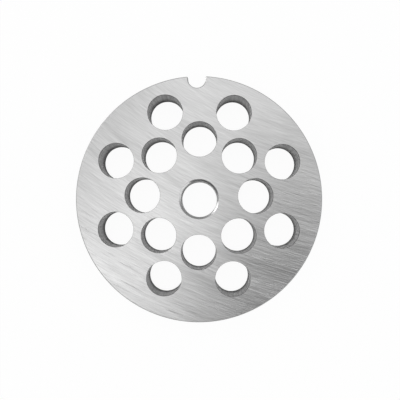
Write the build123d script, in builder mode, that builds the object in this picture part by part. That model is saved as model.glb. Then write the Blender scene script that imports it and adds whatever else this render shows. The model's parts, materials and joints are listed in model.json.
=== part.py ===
from build123d import *
import os

# Hole plate of a meat grinder, size 12: one steel disc that the knife turns against.
# Millimetres, +Z up along the bore. The origin is on the bore's axis, in the face that the
# plate lies on, and +Y runs out through the middle of the locating notch.

# disc
plate_diameter = 70.0
plate_thickness = 7.0
rim_break = 0.25  # chamfer all round the rim and the notch, on both faces

# bore, which runs on the stud of the feed screw
bore_diameter = 10.4
bore_break = 0.5  # lead-in chamfer on both faces

# locating notch, parallel sides and a fully round bottom
notch_width = 5.0
notch_depth = 3.3
notch_corner = 0.4  # radius where the notch meets the rim

# meat holes, two rings that were drilled in one setting
meat_hole_diameter = 10.0
holes_per_ring = 8
inner_ring_radius = 16.05
outer_ring_radius = 25.5
pattern_shift = 1.0  # both rings sit this far towards the notch
pattern_turn = -1.5  # degrees, both rings are turned this much from the notch

plate_radius = plate_diameter / 2
hole_spacing = 360 / holes_per_ring
notch_bottom = plate_radius - notch_depth
first_inner_angle = 90 + pattern_turn
first_outer_angle = first_inner_angle + hole_spacing / 2

with BuildPart() as grinder_plate:
    # disc with the notch milled into its rim
    with BuildSketch():
        Circle(plate_radius)
        with Locations((0, notch_bottom)):
            SlotOverall(
                4 * notch_depth,
                notch_width,
                rotation=90,
                align=(Align.MIN, Align.CENTER),
                mode=Mode.SUBTRACT,
            )
    extrude(amount=plate_thickness)

    # the two corners of the notch are rounded before the edges are broken
    notch_corners = grinder_plate.edges().filter_by(Axis.Z).sort_by(Axis.Y)[-2:]
    fillet(notch_corners, radius=notch_corner)
    for face in grinder_plate.faces().filter_by(Axis.Z):
        chamfer(face.edges(), length=rim_break)

    # bore, with a lead-in on either side so that the plate can be turned over
    Hole(bore_diameter / 2)
    chamfer(grinder_plate.edges(Select.LAST).filter_by(GeomType.CIRCLE), length=bore_break)

    # meat holes: an inner ring, and an outer ring half a spacing round from it;
    # their edges stay sharp, because they shear the meat against the knife
    with Locations((0, pattern_shift)):
        with PolarLocations(inner_ring_radius, holes_per_ring, start_angle=first_inner_angle):
            Hole(meat_hole_diameter / 2)
        with PolarLocations(outer_ring_radius, holes_per_ring, start_angle=first_outer_angle):
            Hole(meat_hole_diameter / 2)

grinder_plate.part.label = "grinder_plate"

os.makedirs("parts", exist_ok=True)
export_step(grinder_plate.part, "parts/grinder_plate.step")
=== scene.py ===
import json
import math

import bpy
import numpy as np
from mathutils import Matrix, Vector
from mathutils.geometry import delaunay_2d_cdt


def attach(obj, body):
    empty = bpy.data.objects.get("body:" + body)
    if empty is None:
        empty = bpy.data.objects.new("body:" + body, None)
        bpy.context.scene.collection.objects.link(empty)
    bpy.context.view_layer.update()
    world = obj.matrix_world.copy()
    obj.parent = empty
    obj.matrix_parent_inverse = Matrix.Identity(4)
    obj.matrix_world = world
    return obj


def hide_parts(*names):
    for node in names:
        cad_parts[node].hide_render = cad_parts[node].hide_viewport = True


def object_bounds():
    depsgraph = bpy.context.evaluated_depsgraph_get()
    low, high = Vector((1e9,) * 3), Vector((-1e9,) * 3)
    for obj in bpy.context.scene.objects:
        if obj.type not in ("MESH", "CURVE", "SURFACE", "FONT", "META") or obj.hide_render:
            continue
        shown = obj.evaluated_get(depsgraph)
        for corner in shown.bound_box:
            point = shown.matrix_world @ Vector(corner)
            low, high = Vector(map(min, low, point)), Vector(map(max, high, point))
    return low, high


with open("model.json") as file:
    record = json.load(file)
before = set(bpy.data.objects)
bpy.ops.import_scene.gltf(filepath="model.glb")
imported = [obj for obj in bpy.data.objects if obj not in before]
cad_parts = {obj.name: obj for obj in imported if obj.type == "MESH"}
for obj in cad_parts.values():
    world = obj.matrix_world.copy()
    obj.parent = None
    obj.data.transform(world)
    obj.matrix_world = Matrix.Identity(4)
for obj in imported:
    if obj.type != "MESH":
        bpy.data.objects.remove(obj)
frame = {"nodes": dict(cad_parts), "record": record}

cadLow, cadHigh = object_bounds()
record = frame["record"]
mounts = {mount["name"]: mount for mount in record["mounts"]}
mm = 0.001
print("frame loaded:", sorted(frame["nodes"]))


def linear(hexColor):
    # sRGB hex to linear: c / 12.92 up to 0.04045, else ((c + 0.055) / 1.055) ** 2.4
    c = np.array([int(hexColor[i:i + 2], 16) for i in (1, 3, 5)]) / 255
    return (*np.where(c <= 0.04045, c / 12.92, ((c + 0.055) / 1.055) ** 2.4), 1.0)


def addNode(tree, kind, links=None, values=None, **settings):
    # one node with its own settings, its sockets' values and the outputs that feed its sockets
    node = tree.nodes.new(kind)
    for name, value in settings.items():
        setattr(node, name, value)
    for name, value in (values or {}).items():
        node.inputs[name].default_value = value
    for name, output in (links or {}).items():
        tree.links.new(output, node.inputs[name])
    return node


def newTree(owner):
    # an empty node tree on a material, world or light
    owner.use_nodes = True
    owner.node_tree.nodes.clear()
    return owner.node_tree


plate = {
    "radius": -cadLow.y,        # the rim, as far out as the frame's own mesh goes
    "thickness": cadHigh.z - cadLow.z,
    "rimBreak": 0.25 * mm,      # chamfer round the rim and the notch
    "boreRadius": mounts["centre_bore"]["dims"]["r_mm"] * mm,
    "boreBreak": 0.5 * mm,      # lead-in chamfer of the bore
    "holeRadius": 5.0 * mm,
    "notchWidth": 5.0 * mm,
    "notchDepth": 3.3 * mm,
    "notchCorner": 0.4 * mm,    # radius where the notch meets the rim
    "chamferRound": 0.06 * mm,  # what honing leaves of a chamfer's corners
    "holeRound": 0.06 * mm,     # what wear leaves of a meat hole's sharp edge
    "rimSteps": 480,            # points round the rim
    "cornerSteps": 12,          # points along each rounded corner of the notch
    "bottomSteps": 48,          # points along its round bottom
    "holeSteps": 144,           # points round the bore and round each meat hole
    "roundSteps": 4,            # rows across each rounded edge
    "wheelRadius": 150 * mm,    # the grinding marks are arcs of a cup wheel this large
    "wheelSide": 60,            # degrees from +X round to the wheel's centre
}


def arc(centre, radius, fromAngle, toAngle, steps):
    # one stretch of an outline: P = centre + radius n(angle), n = (cos, sin); a hollow stretch has radius < 0
    angle = np.radians(np.linspace(fromAngle, toAngle, steps))
    return np.tile(centre, (steps, 1)), np.full(steps, radius), angle


def circlePath(centre, radius, steps):
    # a hole, walked clockwise, with n(angle) pointing at its axis
    return arc(centre, -radius, 360 - 360 / steps, 0, steps)


def rimPath():
    # the rim, then the notch: corner arc, round bottom, corner arc, with straight sides between them
    r, corner, half = plate["radius"], plate["notchCorner"], plate["notchWidth"] / 2
    side = half + corner
    up = math.sqrt((r - corner) ** 2 - side ** 2)
    turn = math.degrees(math.atan2(up, side))
    bottom = (0, r - plate["notchDepth"] + half)
    stretches = (
        arc((0, 0), r, 180 - turn, 360 + turn, plate["rimSteps"]),
        arc((side, up), corner, turn, 180, plate["cornerSteps"]),
        arc(bottom, -half, 180, 0, plate["bottomSteps"]),
        arc((-side, up), corner, 0, 180 - turn, plate["cornerSteps"]),
    )
    return [np.concatenate(part) for part in zip(*stretches)]


def roundedSection(corners, faceAngles, radius):
    # a section of (out, up) corners between faces that point at faceAngles. Each corner is an arc about
    # C = corner - r (n1 + n2) / (1 + n1.n2), so that it meets both faces without a step
    out, up, slope = [], [], []
    for corner, a, b in zip(corners, faceAngles[:-1], faceAngles[1:]):
        n1, n2 = (np.array([math.cos(math.radians(t)), math.sin(math.radians(t))]) for t in (a, b))
        centre = np.array(corner) - radius * (n1 + n2) / (1 + n1 @ n2)
        turn = np.radians(np.linspace(a, b, plate["roundSteps"]))
        out.append(centre[0] + radius * np.cos(turn))
        up.append(centre[1] + radius * np.sin(turn))
        slope.append(turn)
    return np.concatenate(out), np.concatenate(up), np.concatenate(slope)


def edgeSection(edgeBreak, radius):
    # wall of the plate with a chamfer of edgeBreak at both faces, or plain corners where it is 0
    t = plate["thickness"]
    if edgeBreak:
        corners = ((-edgeBreak, 0), (0, edgeBreak), (0, t - edgeBreak), (-edgeBreak, t))
        return roundedSection(corners, (-90, -45, 0, 45, 90), radius)
    return roundedSection(((0, 0), (0, t)), (-90, 0, 90), radius)


def carrySection(path, section):
    # the section carried round a closed path: P = centre + (radius + out) n(angle), z = up, and the surface
    # normal is cos(slope) n(angle) + sin(slope) z
    centre, radius, angle = path
    out, up, slope = section
    n = np.stack([np.cos(angle), np.sin(angle)], 1)
    reach = radius[:, None] + out[None, :]
    flat = centre[:, None, :] + reach[..., None] * n[:, None, :]
    points = np.concatenate([flat, np.broadcast_to(up[None, :, None], (*reach.shape, 1))], 2)
    lean = np.cos(slope)[None, :, None] * n[:, None, :]
    normals = np.concatenate([lean, np.broadcast_to(np.sin(slope)[None, :, None], (*reach.shape, 1))], 2)
    return points, normals


def gridQuads(rows, columns, start):
    # quads of a grid that closes on itself along its first side
    i, j = np.meshgrid(np.arange(rows), np.arange(columns - 1), indexing="ij")
    following = (i + 1) % rows
    corners = (i * columns + j, following * columns + j, following * columns + j + 1, i * columns + j + 1)
    return np.stack(corners, -1).reshape(-1, 4) + start


def fillFace(loops, points):
    # the flat face between the outer loop and the holes: a constrained Delaunay triangulation of the loops'
    # points, less the triangles whose three corners lie on one and the same hole
    ring = np.concatenate(loops)
    owner = np.repeat(np.arange(len(loops)), [len(loop) for loop in loops])
    first = np.concatenate([[0], np.cumsum([len(loop) for loop in loops])])
    step = np.arange(len(ring))
    following = np.where(step + 1 == first[owner + 1], first[owner], step + 1)
    flat = [Vector(p) for p in (points[ring, :2] / mm).tolist()]
    edges = np.stack([step, following], 1).tolist()
    insideOnly, nearness = 1, 1e-6   # keeps what lies inside the loops; points this near, in mm, count as one
    made = delaunay_2d_cdt(flat, edges, [], insideOnly, nearness)
    source = np.array([numbers[0] for numbers in made[3]])
    triangles = source[np.array(made[2])]
    owners = owner[triangles]
    inHole = (owners[:, 0] > 0) & (owners == owners[:, :1]).all(1)
    triangles = triangles[~inHole]
    p = points[ring[triangles], :2]
    side, other = p[:, 1] - p[:, 0], p[:, 2] - p[:, 0]
    area = side[:, 0] * other[:, 1] - side[:, 1] * other[:, 0]
    return np.where(area[:, None] > 0, triangles, triangles[:, ::-1])


def grindPlaces(points):
    # where a point lies among the grinding arcs. With d and a its distance and angle from the wheel's centre,
    # u = d - wheel radius runs across the arcs and v = a times wheel radius along them, in plate diameters
    side = math.radians(plate["wheelSide"])
    toPlate = points[:, :2] - plate["wheelRadius"] * np.array([math.cos(side), math.sin(side)])
    reach = np.hypot(toPlate[:, 0], toPlate[:, 1])
    turn = np.arctan2(toPlate[:, 1], toPlate[:, 0]) + math.pi - side
    turn = (turn + math.pi) % (2 * math.pi) - math.pi
    across = reach - plate["wheelRadius"]
    along = turn * plate["wheelRadius"]
    return np.stack([across, along], 1) / (2 * plate["radius"]) + 0.5


def plateBands():
    # the plate's walls: a closed path, the section carried round it, and its finish
    around = plate["holeSteps"]
    bands = [
        (rimPath(), edgeSection(plate["rimBreak"], plate["chamferRound"]), "turnedRim"),
        (circlePath((0, 0), plate["boreRadius"], around),
         edgeSection(plate["boreBreak"], plate["chamferRound"]), "reamedBore"),
    ]
    for opening in record["physics"]["openings"]:
        path = circlePath(np.mean(opening["box_m"], axis=0)[:2], plate["holeRadius"], around)
        bands.append((path, edgeSection(0, plate["holeRound"]), "drilledHole"))
    return bands


def makePlate(finishes):
    # rim, bore and meat holes as carried sections, closed by one flat face above and its mirror image below
    names = list(finishes)
    points, normals, faces, slots, lower, upper, start = [], [], [], [], [], [], 0
    for path, section, finish in plateBands():
        p, n = carrySection(path, section)
        rows, columns = p.shape[:2]
        points.append(p.reshape(-1, 3))
        normals.append(n.reshape(-1, 3))
        faces += gridQuads(rows, columns, start).tolist()
        slots += [names.index(finish)] * (rows * (columns - 1))
        number = start + np.arange(rows * columns).reshape(rows, columns)
        lower.append(number[:, 0])
        upper.append(number[:, -1])
        start += rows * columns
    points, normals = np.concatenate(points), np.concatenate(normals)
    triangles = fillFace(upper, points)
    faces += np.concatenate(upper)[triangles].tolist()
    faces += np.concatenate(lower)[triangles[:, ::-1]].tolist()
    slots += [names.index("groundFace")] * (2 * len(triangles))
    mesh = bpy.data.meshes.new("groundPlate")
    mesh.from_pydata(points.tolist(), [], faces)
    mesh.polygons.foreach_set("material_index", slots)
    mesh.polygons.foreach_set("use_smooth", [True] * len(faces))
    for name in names:
        mesh.materials.append(finishes[name])
    corners = np.empty(len(mesh.loops), int)
    mesh.loops.foreach_get("vertex_index", corners)
    mesh.uv_layers.new(name="grindLines").uv.foreach_set("vector", grindPlaces(points)[corners].ravel())
    mesh.normals_split_custom_set_from_vertices(normals.tolist())
    mesh.validate()
    piece = bpy.data.objects.new("groundPlate", mesh)
    bpy.context.scene.collection.objects.link(piece)
    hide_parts("grinder_plate")
    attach(piece, "root")
    print("plate made:", len(points), "points,", len(faces), "faces")


# surface-ground tool steel: long grey lines in wide arcs, bright and dark by turns as the light moves
ground = {
    "colors": ("#B3B3B3", "#D5D5D5"),   # the plain steel, and along the freshest lines
    "roughness": (0.31, 0.37),
    "anisotropic": 0.7,         # light spreads across the lines and stays narrow along them
    # mm across and along one mark, and its degrees off the line. Real marks are about 0.05 mm wide, too fine
    # to show, so these are drawn coarser
    "fine": (0.28, 10, 0),
    "astray": (0.28, 7, 9),
    "long": (0.32, 18, 2),
    "coarse": (0.6, 34, -5),
    "cloud": (5, 60, 0),
    "scratch": (0.34, 15, 5),   # the few deep ones
    "depth": 34e-6,             # metres, deeper than real marks, set so that the wide ones catch light
    # the wheel bit deeper towards one side, and there the tone is darker and more streaked as painted shade:
    # its degrees from +X, share of the depth opposite it and at it
    "dwellAndShade": (268, 0.15, 2.3),
    "scratchRange": (0.68, 0.76),   # noise at which a deep scratch begins and is full
    "scratchShare": -1.0,       # it is cut out of the other marks
    "grainShare": 0.4,          # of the short marks beside the long ones, in the relief
    "lineShare": 0.4,           # of the long marks beside the short ones, in the tones
    "toneMiddle": 1.9,          # mean of the tones added up: 0.5 for each layer times its share
    # painted shade: the tone is darker and its streaks stronger towards the deep side
    "toneContrast": (0.85, 1.45),   # at the shallow side and at the deep one
    "toneLevel": (0.55, 0.43),  # likewise
}
# drilled steel: a matt, pale wall with lines dragged down it
drilled = {
    "colors": ("#D6D6D6", "#BABABA"),   # clean cut, and duller where the drill rubbed
    "roughness": (0.58, 0.7),
    "drag": (0.5, 8, 1.0),      # mm round the wall and along the axis, share
    "rings": (9, 0.7, 0.4),     # the drill's feed marks, real ones are about 0.2 mm apart
    "depth": 7e-6,
    # painted shade: the wall darkens towards both ends of the hole, over a long reach from the resting side
    "paintedMouthShade": (3.4, 0.5, "#4C4C4C"),   # mm from the resting and from the knife side over which it darkens
}
# turned steel: level rings that draw the light out into a soft upright band, in colours darker than the
# face's as painted shade for the dark line along the rim
turned = {
    "colors": ("#ACACAC", "#929292"),
    "roughness": (0.29, 0.39),
    "drag": (7, 7, 0.25),       # on a turned or reamed wall this is only a slow change of tone
    "rings": (30, 0.4, 1.0),    # feed marks of the lathe, real ones are about 0.1 mm apart
    "depth": 6e-6,
}
# reamed steel: the smoothest and shiniest of the walls, with faint level rings
reamed = {
    "colors": ("#C2C2C2", "#B0B0B0"),
    "roughness": (0.24, 0.32),
    "drag": (5, 5, 0.25),
    "rings": (25, 0.3, 1.0),    # coarsened as the lathe's are
    "depth": 2e-6,
}
marking = {
    "detail": 2.0,
    "noiseRoughness": 0.6,
    "faceStep": 7.3,            # from one layer of noise to the next, so that no two layers are alike
    "wallStep": 3.1,
    "wallRange": (0.32, 0.68),  # share of the added noise over which a wall goes from one colour to the other
}


def markNoise(tree, place, sizes, offset, turn=0.0):
    # noise whose cells have the given size along each axis of place, which is turned about z first
    stretch = addNode(tree, "ShaderNodeMapping", {"Vector": place},
                      {"Location": (offset, offset, offset), "Rotation": (0, 0, math.radians(turn)),
                       "Scale": sizes}, vector_type="TEXTURE")
    noise = addNode(tree, "ShaderNodeTexNoise", {"Vector": stretch.outputs["Vector"]},
                    {"Scale": 1.0, "Detail": marking["detail"], "Roughness": marking["noiseRoughness"]})
    return noise.outputs["Fac"]


def spread(tree, value, low, high, toLow, toHigh):
    # value between low and high taken to toLow .. toHigh in step, and held at those beyond
    return addNode(tree, "ShaderNodeMapRange", {"Value": value},
                   {"From Min": low, "From Max": high, "To Min": toLow, "To Max": toHigh}).outputs["Result"]


def finishSteel(tree, finish, tint, height):
    # metal whose colour and roughness go from first to second as tint goes from 0 to 1, and whose relief is
    # height times the finish's depth
    first, second = (linear(hexColor) for hexColor in finish["colors"])
    color = addNode(tree, "ShaderNodeMix", {"Factor": tint}, {6: first, 7: second}, data_type="RGBA")
    bump = addNode(tree, "ShaderNodeBump", {"Height": height}, {"Strength": 1.0, "Distance": finish["depth"]})
    roughness = spread(tree, tint, 0, 1, *finish["roughness"])
    shader = addNode(tree, "ShaderNodeBsdfPrincipled",
                     {"Base Color": color.outputs[2], "Roughness": roughness,
                      "Normal": bump.outputs["Normal"]},
                     {"Metallic": 1.0})
    addNode(tree, "ShaderNodeOutputMaterial", {"Surface": shader.outputs["BSDF"]})
    return shader


def groundFace():
    # relief = (grain x share + lines - deep scratches) x bite, and
    # tint = (grain + lines x share + cloud - their mean) x contrast + level,
    # where bite, contrast and level change from one side of the plate to the other; the darker, stronger tone
    # on the deep side is painted shade
    material = bpy.data.materials.new("groundSteelFace")
    tree = newTree(material)
    uv = addNode(tree, "ShaderNodeUVMap", uv_map="grindLines").outputs["UV"]
    across = 2 * plate["radius"]
    layers = {}
    for number, key in enumerate(("fine", "astray", "long", "coarse", "cloud", "scratch")):
        wide, long, turn = ground[key]
        layers[key] = markNoise(tree, uv, (wide * mm / across, long * mm / across, 1.0),
                                marking["faceStep"] * number, turn)
    cut = spread(tree, layers["scratch"], *ground["scratchRange"], 0, 1)
    grain = addNode(tree, "ShaderNodeMath", {0: layers["fine"], 1: layers["astray"]}, operation="ADD")
    lines = addNode(tree, "ShaderNodeMath", {0: layers["coarse"], 1: layers["long"]}, operation="ADD")
    marks = addNode(tree, "ShaderNodeMath", {0: grain.outputs[0], 2: lines.outputs[0]},
                    {1: ground["grainShare"]}, operation="MULTIPLY_ADD")
    relief = addNode(tree, "ShaderNodeMath", {0: cut, 2: marks.outputs[0]}, {1: ground["scratchShare"]},
                     operation="MULTIPLY_ADD")
    side, shallow, deep = ground["dwellAndShade"]
    place = addNode(tree, "ShaderNodeTexCoord").outputs["Object"]
    toSide = addNode(tree, "ShaderNodeVectorMath", {0: place},
                     {1: (math.cos(math.radians(side)), math.sin(math.radians(side)), 0)},
                     operation="DOT_PRODUCT").outputs["Value"]
    bite = spread(tree, toSide, -plate["radius"], plate["radius"], shallow, deep)
    height = addNode(tree, "ShaderNodeMath", {0: relief.outputs[0], 1: bite}, operation="MULTIPLY")
    tones = addNode(tree, "ShaderNodeMath", {0: lines.outputs[0], 2: layers["cloud"]},
                    {1: ground["lineShare"]}, operation="MULTIPLY_ADD")
    tone = addNode(tree, "ShaderNodeMath", {0: grain.outputs[0], 1: tones.outputs[0]}, operation="ADD")
    centred = addNode(tree, "ShaderNodeMath", {0: tone.outputs[0]}, {1: ground["toneMiddle"]},
                      operation="SUBTRACT")
    # painted shade: level and contrast of the tone follow the deep side
    tint = addNode(tree, "ShaderNodeMath",
                   {0: centred.outputs[0], 1: spread(tree, bite, shallow, deep, *ground["toneContrast"]),
                    2: spread(tree, bite, shallow, deep, *ground["toneLevel"])}, operation="MULTIPLY_ADD")
    shader = finishSteel(tree, ground, tint.outputs[0], height.outputs[0])
    shader.inputs["Anisotropic"].default_value = ground["anisotropic"]
    tangent = addNode(tree, "ShaderNodeTangent", direction_type="UV_MAP", uv_map="grindLines")
    tree.links.new(tangent.outputs["Tangent"], shader.inputs["Tangent"])
    return material


def roundFinish(name, finish):
    # a wall of revolution: marks = rings x share + drag x share, where rings are level and drag runs down the
    # wall. Towards both ends a drilled wall is mixed to a darker colour, fully so at the very end: painted
    # shade
    material = bpy.data.materials.new(name)
    tree = newTree(material)
    place = addNode(tree, "ShaderNodeTexCoord").outputs["Object"]
    layers = []
    for number, key in enumerate(("rings", "drag")):
        around, along, share = finish[key]
        sizes = (around * mm, around * mm, along * mm)
        noise = markNoise(tree, place, sizes, marking["wallStep"] * number)
        weighed = addNode(tree, "ShaderNodeMath", {0: noise}, {1: share}, operation="MULTIPLY")
        layers.append(weighed.outputs[0])
    marks = addNode(tree, "ShaderNodeMath", {0: layers[0], 1: layers[1]}, operation="ADD").outputs[0]
    whole = finish["rings"][2] + finish["drag"][2]
    low, high = (share * whole for share in marking["wallRange"])
    shader = finishSteel(tree, finish, spread(tree, marks, low, high, 0, 1), marks)
    # painted shade: the drilled wall's colour darkens towards both ends
    if "paintedMouthShade" in finish:
        lower, upper, dark = finish["paintedMouthShade"]
        level = addNode(tree, "ShaderNodeSeparateXYZ", {"Vector": place}).outputs["Z"]
        top = plate["thickness"]
        near = addNode(tree, "ShaderNodeMath", {0: spread(tree, level, 0, lower * mm, 1, 0),
                                                1: spread(tree, level, top - upper * mm, top, 0, 1)},
                       operation="MAXIMUM")
        color = addNode(tree, "ShaderNodeMix",
                        {"Factor": near.outputs[0], 6: shader.inputs["Base Color"].links[0].from_socket},
                        {7: linear(dark)}, data_type="RGBA")
        tree.links.new(color.outputs[2], shader.inputs["Base Color"])
    return material


finishes = {
    "groundFace": groundFace(),
    "turnedRim": roundFinish("turnedSteelRim", turned),
    "reamedBore": roundFinish("reamedSteelBore", reamed),
    "drilledHole": roundFinish("drilledSteelHole", drilled),
}
print("finishes made:", ", ".join(finishes))
makePlate(finishes)

# lengths in metres
studio = {
    "floor": "#F4F4F4",
    "floorSize": 8.0,
    "floorDrop": 0.05 * mm,       # keeps the floor out of the plate's lower face
    "floorLift": 0.95,            # how far the floor shows as white background
    "floorClear": 1.5,            # plate radii from the axis at which reflections see it as the camera does
    "scrimSize": 1.4,
    "scrimHeight": 0.6,
    "scrimLight": 1.25,
    "lamp": ((-0.14, -0.127), 0.252, 1.52),     # centre, radius and extra light of the bright patch
    "flags": (((0.112, -0.317), 0.63, 0.03),    # centre, radius and what is left of the light
              ((-0.322, 0.215), 0.22, 0.05), ((0.095, -0.2), 0.16, 0.45)),
    "skyLight": (0.8, 1.0),       # the world as a light, and where it is seen or mirrored
    "cardReach": 0.9,
    "cardSteps": 25,              # points along each bent card
    # upright cards round the plate: azimuth and half width in degrees, foot and head height, light
    "cards": {"keyCard": (150, 16, 0.0, 0.3, 5.2), "darkCard": (245, 52, 0.0, 0.3, 0.12),
              "fillCard": (330, 36, 0.0, 0.3, 1.9), "greyCard": (60, 52, 0.0, 0.3, 0.6),
              "sideLamp": (150, 30, 0.3, 0.42, 2.5)},
}


def stagePiece(name, points, faces, seen):
    # a piece of the studio; seen is False for what lights the plate without showing itself
    mesh = bpy.data.meshes.new(name)
    mesh.from_pydata(points, [], faces)
    piece = bpy.data.objects.new(name, mesh)
    bpy.context.scene.collection.objects.link(piece)
    piece.visible_camera = seen
    material = bpy.data.materials.new(name)
    mesh.materials.append(material)
    return piece, newTree(material)


def makeFloor():
    # pale floor: white to the camera and, clear of the plate, to reflections; elsewhere it is lit and shaded
    size, drop = studio["floorSize"] / 2, -studio["floorDrop"]
    corners = [(-size, -size, drop), (size, -size, drop), (size, size, drop), (-size, size, drop)]
    _, tree = stagePiece("floor", corners, [(0, 1, 2, 3)], True)
    matte = addNode(tree, "ShaderNodeBsdfDiffuse", values={"Color": linear(studio["floor"])})
    glow = addNode(tree, "ShaderNodeEmission", values={"Color": (1, 1, 1, 1), "Strength": 1.0})
    rays = addNode(tree, "ShaderNodeLightPath")
    place = addNode(tree, "ShaderNodeTexCoord")
    reach = addNode(tree, "ShaderNodeVectorMath", {0: place.outputs["Object"]}, operation="LENGTH")
    edge = plate["radius"]
    clear = spread(tree, reach.outputs["Value"], edge, studio["floorClear"] * edge, 0, 1)
    mirrored = addNode(tree, "ShaderNodeMath", {0: rays.outputs["Is Glossy Ray"],
                                                1: rays.outputs["Is Transmission Ray"]}, operation="MAXIMUM")
    aside = addNode(tree, "ShaderNodeMath", {0: mirrored.outputs[0], 1: clear}, operation="MULTIPLY")
    shown = addNode(tree, "ShaderNodeMath", {0: rays.outputs["Is Camera Ray"], 1: aside.outputs[0]},
                    operation="MAXIMUM")
    lift = addNode(tree, "ShaderNodeMath", {0: shown.outputs[0]}, {1: studio["floorLift"]},
                   operation="MULTIPLY")
    mix = addNode(tree, "ShaderNodeMixShader", {0: lift.outputs[0], 1: matte.outputs[0], 2: glow.outputs[0]})
    addNode(tree, "ShaderNodeOutputMaterial", {"Surface": mix.outputs[0]})


def patchLight(tree, place, patch, outside):
    # light of a round patch: its own at the centre, easing to outside at its edge
    centre, radius, light = patch
    away = addNode(tree, "ShaderNodeVectorMath", {0: place}, {1: (*centre, studio["scrimHeight"])},
                   operation="DISTANCE")
    return addNode(tree, "ShaderNodeMapRange", {"Value": away.outputs["Value"]},
                   {"From Max": radius, "To Min": light, "To Max": outside},
                   interpolation_type="SMOOTHSTEP").outputs["Result"]


def makeScrim():
    # the wide diffuser overhead: its light = what all flags leave x scrimLight + the lamp behind it
    size, height = studio["scrimSize"] / 2, studio["scrimHeight"]
    corners = [(-size, -size, height), (-size, size, height), (size, size, height), (size, -size, height)]
    _, tree = stagePiece("scrim", corners, [(0, 1, 2, 3)], False)
    place = addNode(tree, "ShaderNodeTexCoord").outputs["Object"]
    shade, *others = (patchLight(tree, place, flag, 1.0) for flag in studio["flags"])
    for left in others:
        shade = addNode(tree, "ShaderNodeMath", {0: left, 1: shade}, operation="MULTIPLY").outputs[0]
    lamp = patchLight(tree, place, studio["lamp"], 0.0)
    light = addNode(tree, "ShaderNodeMath", {0: shade, 2: lamp}, {1: studio["scrimLight"]},
                    operation="MULTIPLY_ADD")
    glow = addNode(tree, "ShaderNodeEmission", {"Strength": light.outputs[0]}, {"Color": (1, 1, 1, 1)})
    addNode(tree, "ShaderNodeOutputMaterial", {"Surface": glow.outputs[0]})


def makeCard(name, azimuth, halfWidth, foot, head, light):
    # an upright card bent round the plate: P = reach (cos a, sin a), z from foot to head
    steps = studio["cardSteps"]
    turn = np.radians(np.linspace(azimuth - halfWidth, azimuth + halfWidth, steps))
    line = studio["cardReach"] * np.stack([np.cos(turn), np.sin(turn), np.zeros(steps)], 1)
    points = np.concatenate([line + (0, 0, foot), line + (0, 0, head)])
    i = np.arange(steps - 1)
    faces = np.stack([i, i + steps, i + steps + 1, i + 1], 1)
    card, tree = stagePiece(name, points.tolist(), faces.tolist(), False)
    card.visible_diffuse = False
    card.visible_shadow = False
    glow = addNode(tree, "ShaderNodeEmission", values={"Color": (1, 1, 1, 1), "Strength": light})
    addNode(tree, "ShaderNodeOutputMaterial", {"Surface": glow.outputs[0]})


def makeWorld():
    # white where it is seen or mirrored, a little less as light
    world = bpy.data.worlds.new("studio")
    bpy.context.scene.world = world
    tree = newTree(world)
    rays = addNode(tree, "ShaderNodeLightPath").outputs
    direct = addNode(tree, "ShaderNodeMath", {0: rays["Is Camera Ray"], 1: rays["Is Glossy Ray"]},
                     operation="MAXIMUM")
    shown = addNode(tree, "ShaderNodeMath", {0: direct.outputs[0], 1: rays["Is Transmission Ray"]},
                    operation="MAXIMUM")
    strength = spread(tree, shown.outputs[0], 0, 1, *studio["skyLight"])
    sky = addNode(tree, "ShaderNodeBackground", {"Strength": strength}, {"Color": (1, 1, 1, 1)})
    addNode(tree, "ShaderNodeOutputWorld", {"Surface": sky.outputs[0]})


camera = {
    "foot": (2.479 * mm, -2.684 * mm),   # the point of the plate's plane that the camera stands over
    "height": 101.385 * mm,              # above the plate's upper face
    "roll": 1.1,                         # degrees
    "focalPixels": 357.53,
    "centrePixel": (207.49, 207.97),     # where the foot appears
    "framePixels": 400,
    "sensor": 36.0,                      # mm
    "clipStart": 5 * mm,
}


def makeCamera():
    # looks straight down: lens = focal length in pixels / frame in pixels x sensor, and the shift brings the
    # point below the camera from the middle of the frame to its own pixel
    data = bpy.data.cameras.new("camera")
    data.sensor_width = camera["sensor"]
    data.lens = camera["focalPixels"] / camera["framePixels"] * camera["sensor"]
    middle = (camera["framePixels"] - 1) / 2
    data.shift_x = (middle - camera["centrePixel"][0]) / camera["framePixels"]
    data.shift_y = (camera["centrePixel"][1] - middle) / camera["framePixels"]
    data.clip_start = camera["clipStart"]
    eye = bpy.data.objects.new("camera", data)
    eye.location = (*camera["foot"], plate["thickness"] + camera["height"])
    eye.rotation_euler = (0, 0, -math.radians(camera["roll"]))
    bpy.context.scene.collection.objects.link(eye)
    bpy.context.scene.camera = eye


makeFloor()
makeScrim()
for name, card in studio["cards"].items():
    makeCard(name, *card)
makeWorld()
print("studio made: floor, scrim,", ", ".join(studio["cards"]))
makeCamera()
print("camera placed", round(camera["height"] / mm), "mm above the plate")
bpy.context.scene.view_settings.view_transform = "Standard"
